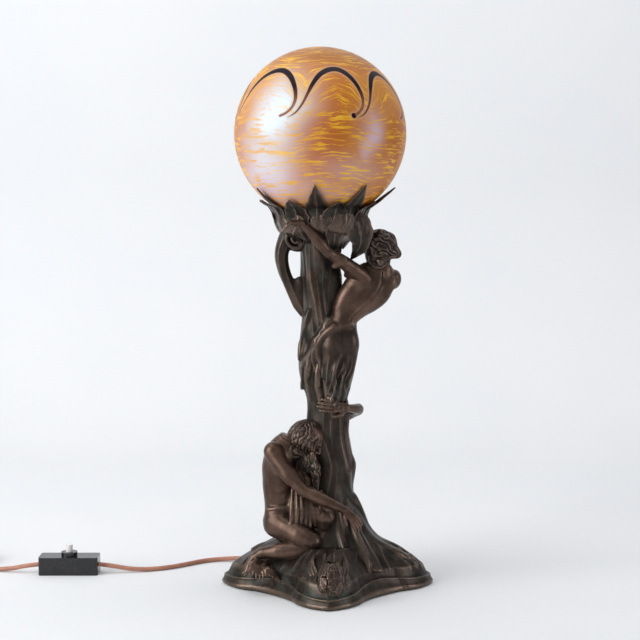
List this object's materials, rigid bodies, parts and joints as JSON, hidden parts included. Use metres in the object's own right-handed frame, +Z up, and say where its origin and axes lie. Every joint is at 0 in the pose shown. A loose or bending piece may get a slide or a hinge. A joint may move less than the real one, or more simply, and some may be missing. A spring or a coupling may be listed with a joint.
{
  "type": "figural table lamp",
  "caption": "Bronze figural table lamp: a kneeling man and a climbing woman on a tree trunk, a leaf crown holding a round art-glass globe, with an in-line push switch on its cord.",
  "frame": {"origin": "middle of the base, on the surface that the lamp stands on", "axes": "+Z up, -Y towards the front corner with the rosebud, +X to the right seen from the front"},
  "size_m": [0.6272, 0.2413, 0.5778],
  "materials": {
    "bronze": "cast bronze, dark brown patina with coppery high points and green in the hollows",
    "steel": "zinc-plated steel",
    "felt": "dark green felt",
    "brass": "plain brass",
    "porcelain": "glazed porcelain",
    "frosted_glass": "frosted bulb glass",
    "art_glass": "iridescent art glass, gold threads and dark pulled swags",
    "cord": "smooth terracotta-coloured sheath",
    "black_plastic": "moulded black plastic",
    "black_rubber": "soft black rubber",
    "white_plastic": "moulded white plastic"
  },
  "bodies": {
    "lamp": {"base_plinth": "bronze", "tree_trunk": "bronze", "leaf_crown": "bronze", "climbing_figure": "bronze", "branch_loop": "bronze", "climbing_figure_near_arm": "bronze", "climbing_figure_far_arm": "bronze", "kneeling_figure": "bronze", "kneeling_figure_near_arm": "bronze", "kneeling_figure_far_arm": "bronze", "rosebud": "bronze", "bottom_plate": "steel", "bottom_plate_screws": "steel", "threaded_tube": "steel", "base_washer": "steel", "base_nut": "steel", "crown_nut": "steel", "holder_nut": "steel", "switch_screws": "steel", "switch_spring": "steel", "felt_pad": "felt", "globe_seat_ring": "felt", "holder_cap": "brass", "holder_shell": "brass", "screw_shell": "brass", "centre_contact": "brass", "switch_contacts": "brass", "plug_pins": "brass", "holder_core": "porcelain", "inner_cord": "cord", "lamp_cord": "cord", "supply_cord": "cord", "cord_coil": "cord", "switch_lower_shell": "black_plastic", "switch_upper_shell": "black_plastic", "switch_collar": "black_plastic", "switch_carrier": "black_plastic", "plug_body": "black_plastic", "plug_strain_relief": "black_plastic", "cord_bush": "black_rubber"},
    "globe": {"glass_globe": "art_glass"},
    "bulb": {"bulb_screw_cap": "brass", "bulb_contact": "brass", "bulb_glass": "frosted_glass"},
    "push_button": {"switch_button": "white_plastic"}
  },
  "joints": [
    {"name": "globe_lift", "type": "slide", "parent": "lamp", "child": "globe", "axis": [0, 0, 1], "range_m": [0, 0.1]},
    {"name": "bulb_unscrew", "type": "slide", "parent": "lamp", "child": "bulb", "axis": [0, 0, 1], "range_m": [0, 0.03]},
    {"name": "button_press", "type": "slide", "parent": "lamp", "child": "push_button", "axis": [0, 0, -1], "range_m": [0, 0.003], "stiffness_N_per_m": 250, "springref_m": -0.003, "deforming": ["switch_spring"]}
  ]
}
